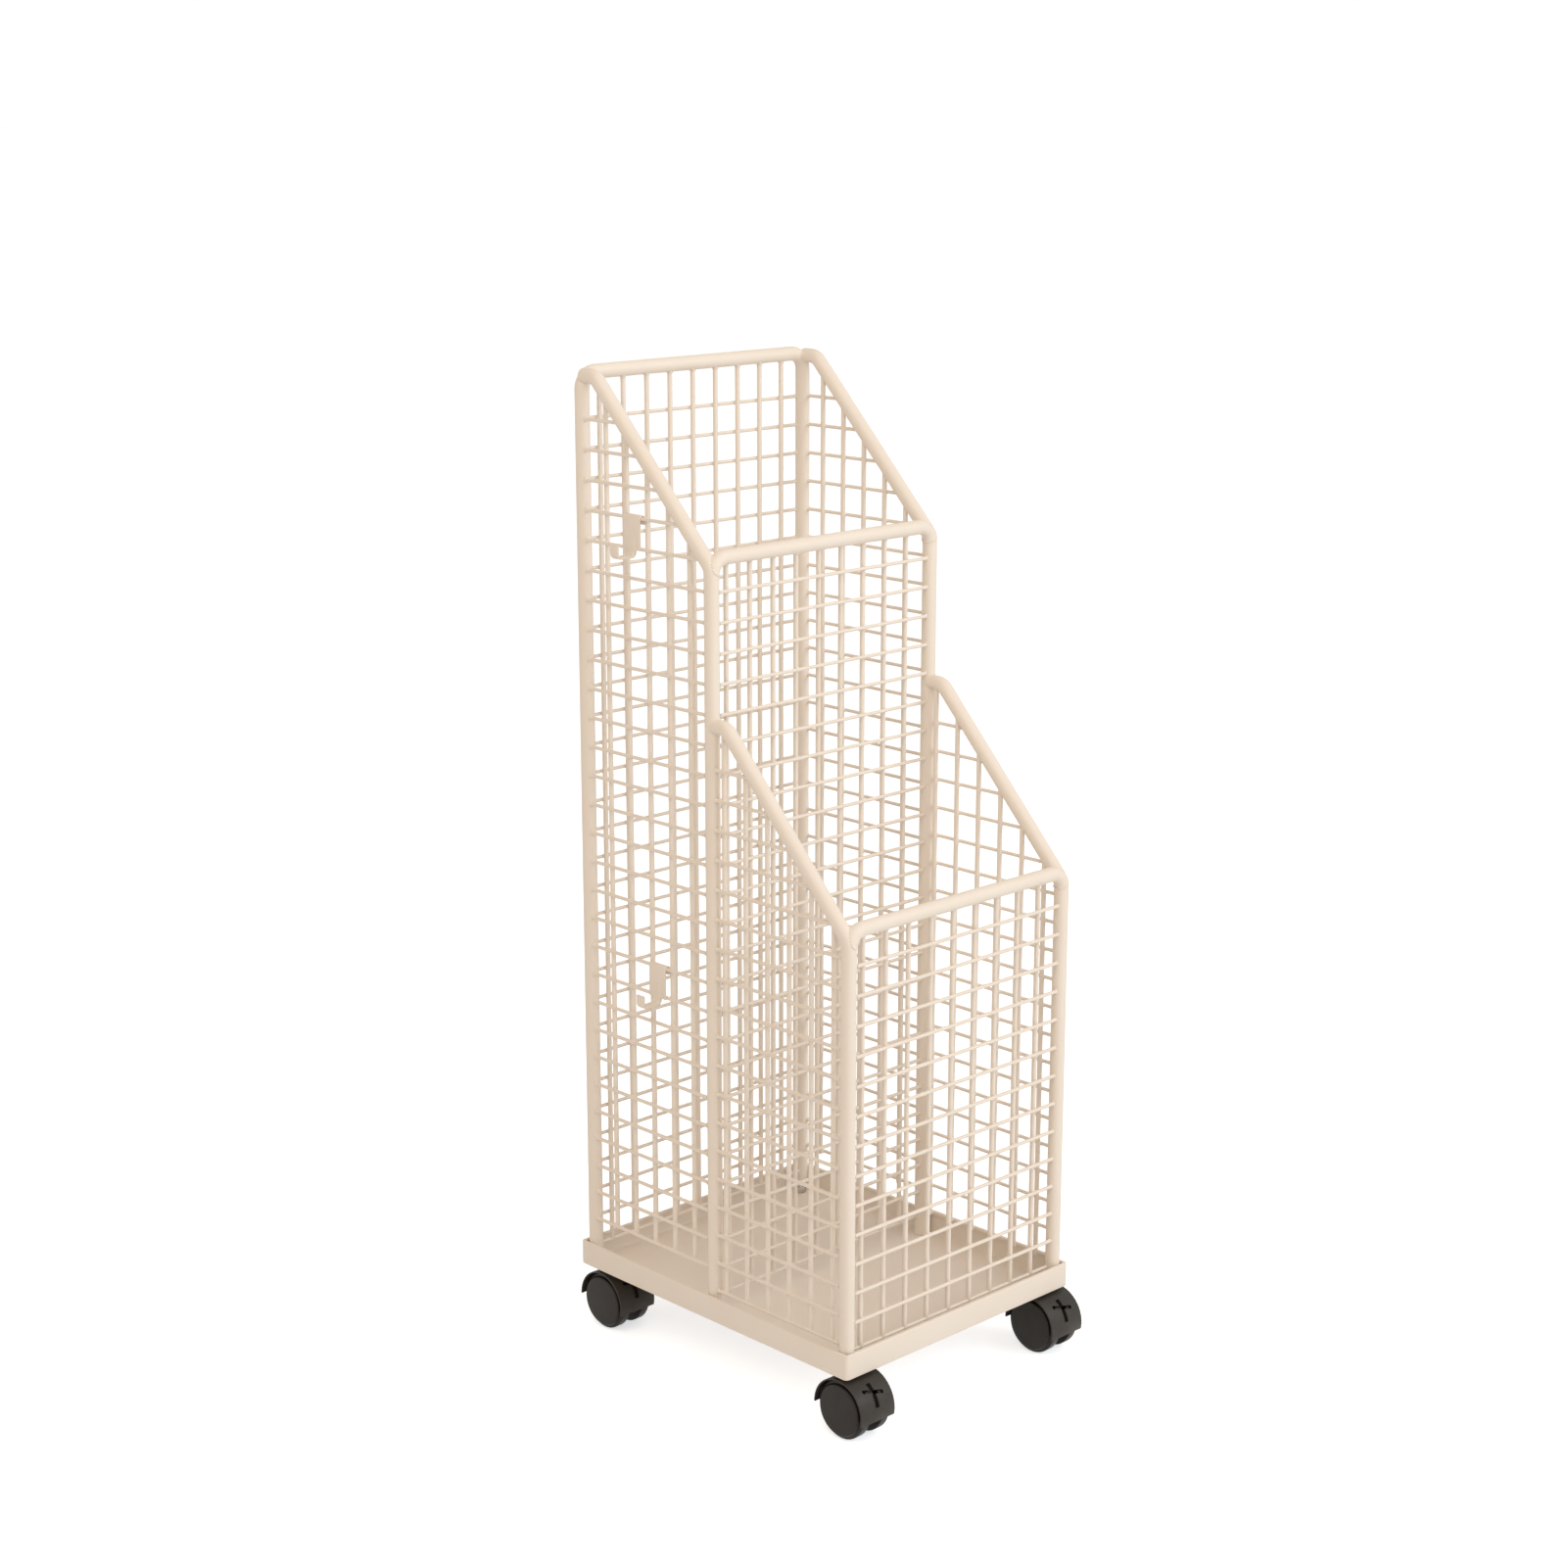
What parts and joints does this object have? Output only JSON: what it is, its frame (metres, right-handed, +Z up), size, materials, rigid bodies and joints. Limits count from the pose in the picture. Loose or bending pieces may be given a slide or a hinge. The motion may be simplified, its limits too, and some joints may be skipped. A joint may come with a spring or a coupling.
{
  "type": "rolling sports equipment rack",
  "caption": "Narrow rolling rack with two open wire bins on a sheet tray, sloping tops, plate side hooks and hooded twin-wheel casters.",
  "frame": {"origin": "on the floor, under the middle of the whole bounding box, with the casters trailing forward and the hooks on the left", "axes": "+Z up, -Y toward the front, where the low bin is, +X to the right seen from the front"},
  "size_m": [0.286, 0.3482, 0.8417],
  "materials": {
    "cream_paint": "warm cream powder coat, satin",
    "caster_plastic": "near-black moulded nylon, fine satin",
    "plated_steel": "zinc-plated steel"
  },
  "bodies": {
    "rack": {"tray": "cream_paint", "back_panel": "cream_paint", "middle_panel": "cream_paint", "low_front_panel": "cream_paint", "tall_side_left": "cream_paint", "tall_side_right": "cream_paint", "low_side_left": "cream_paint", "low_side_right": "cream_paint", "front_left_stem": "plated_steel", "front_left_stem_ring": "plated_steel", "front_left_stem_nut": "plated_steel", "front_right_stem": "plated_steel", "front_right_stem_ring": "plated_steel", "front_right_stem_nut": "plated_steel", "back_left_stem": "plated_steel", "back_left_stem_ring": "plated_steel", "back_left_stem_nut": "plated_steel", "back_right_stem": "plated_steel", "back_right_stem_ring": "plated_steel", "back_right_stem_nut": "plated_steel"},
    "front_left_swivel": {"front_left_caster_hood": "caster_plastic", "front_left_axle": "plated_steel"},
    "front_left_left_roller": {"front_left_left_wheel": "caster_plastic"},
    "front_left_right_roller": {"front_left_right_wheel": "caster_plastic"},
    "front_right_swivel": {"front_right_caster_hood": "caster_plastic", "front_right_axle": "plated_steel"},
    "front_right_left_roller": {"front_right_left_wheel": "caster_plastic"},
    "front_right_right_roller": {"front_right_right_wheel": "caster_plastic"},
    "back_left_swivel": {"back_left_caster_hood": "caster_plastic", "back_left_axle": "plated_steel"},
    "back_left_left_roller": {"back_left_left_wheel": "caster_plastic"},
    "back_left_right_roller": {"back_left_right_wheel": "caster_plastic"},
    "back_right_swivel": {"back_right_caster_hood": "caster_plastic", "back_right_axle": "plated_steel"},
    "back_right_left_roller": {"back_right_left_wheel": "caster_plastic"},
    "back_right_right_roller": {"back_right_right_wheel": "caster_plastic"},
    "upper_hook_body": {"upper_hook": "cream_paint"},
    "lower_hook_body": {"lower_hook": "cream_paint"}
  },
  "joints": [
    {"name": "front_left_swivel_turn", "type": "hinge", "parent": "rack", "child": "front_left_swivel", "pos_m": [-0.1093, -0.13885, 0.025], "axis": [0, 0, 1], "continuous": true},
    {"name": "front_left_left_wheel_spin", "type": "hinge", "parent": "front_left_swivel", "child": "front_left_left_roller", "pos_m": [-0.1093, -0.14685, 0.025], "axis": [1, 0, 0], "continuous": true},
    {"name": "front_left_right_wheel_spin", "type": "hinge", "parent": "front_left_swivel", "child": "front_left_right_roller", "pos_m": [-0.1093, -0.14685, 0.025], "axis": [1, 0, 0], "continuous": true},
    {"name": "front_right_swivel_turn", "type": "hinge", "parent": "rack", "child": "front_right_swivel", "pos_m": [0.1236, -0.13885, 0.025], "axis": [0, 0, 1], "continuous": true},
    {"name": "front_right_left_wheel_spin", "type": "hinge", "parent": "front_right_swivel", "child": "front_right_left_roller", "pos_m": [0.1236, -0.14685, 0.025], "axis": [1, 0, 0], "continuous": true},
    {"name": "front_right_right_wheel_spin", "type": "hinge", "parent": "front_right_swivel", "child": "front_right_right_roller", "pos_m": [0.1236, -0.14685, 0.025], "axis": [1, 0, 0], "continuous": true},
    {"name": "back_left_swivel_turn", "type": "hinge", "parent": "rack", "child": "back_left_swivel", "pos_m": [-0.1093, 0.15485, 0.025], "axis": [0, 0, 1], "continuous": true},
    {"name": "back_left_left_wheel_spin", "type": "hinge", "parent": "back_left_swivel", "child": "back_left_left_roller", "pos_m": [-0.1093, 0.14685, 0.025], "axis": [1, 0, 0], "continuous": true},
    {"name": "back_left_right_wheel_spin", "type": "hinge", "parent": "back_left_swivel", "child": "back_left_right_roller", "pos_m": [-0.1093, 0.14685, 0.025], "axis": [1, 0, 0], "continuous": true},
    {"name": "back_right_swivel_turn", "type": "hinge", "parent": "rack", "child": "back_right_swivel", "pos_m": [0.1236, 0.15485, 0.025], "axis": [0, 0, 1], "continuous": true},
    {"name": "back_right_left_wheel_spin", "type": "hinge", "parent": "back_right_swivel", "child": "back_right_left_roller", "pos_m": [0.1236, 0.14685, 0.025], "axis": [1, 0, 0], "continuous": true},
    {"name": "back_right_right_wheel_spin", "type": "hinge", "parent": "back_right_swivel", "child": "back_right_right_roller", "pos_m": [0.1236, 0.14685, 0.025], "axis": [1, 0, 0], "continuous": true},
    {"name": "upper_hook_lift", "type": "slide", "parent": "rack", "child": "upper_hook_body", "axis": [0, 0, 1], "range_m": [0, 0.01]},
    {"name": "lower_hook_lift", "type": "slide", "parent": "rack", "child": "lower_hook_body", "axis": [0, 0, 1], "range_m": [0, 0.01]}
  ]
}
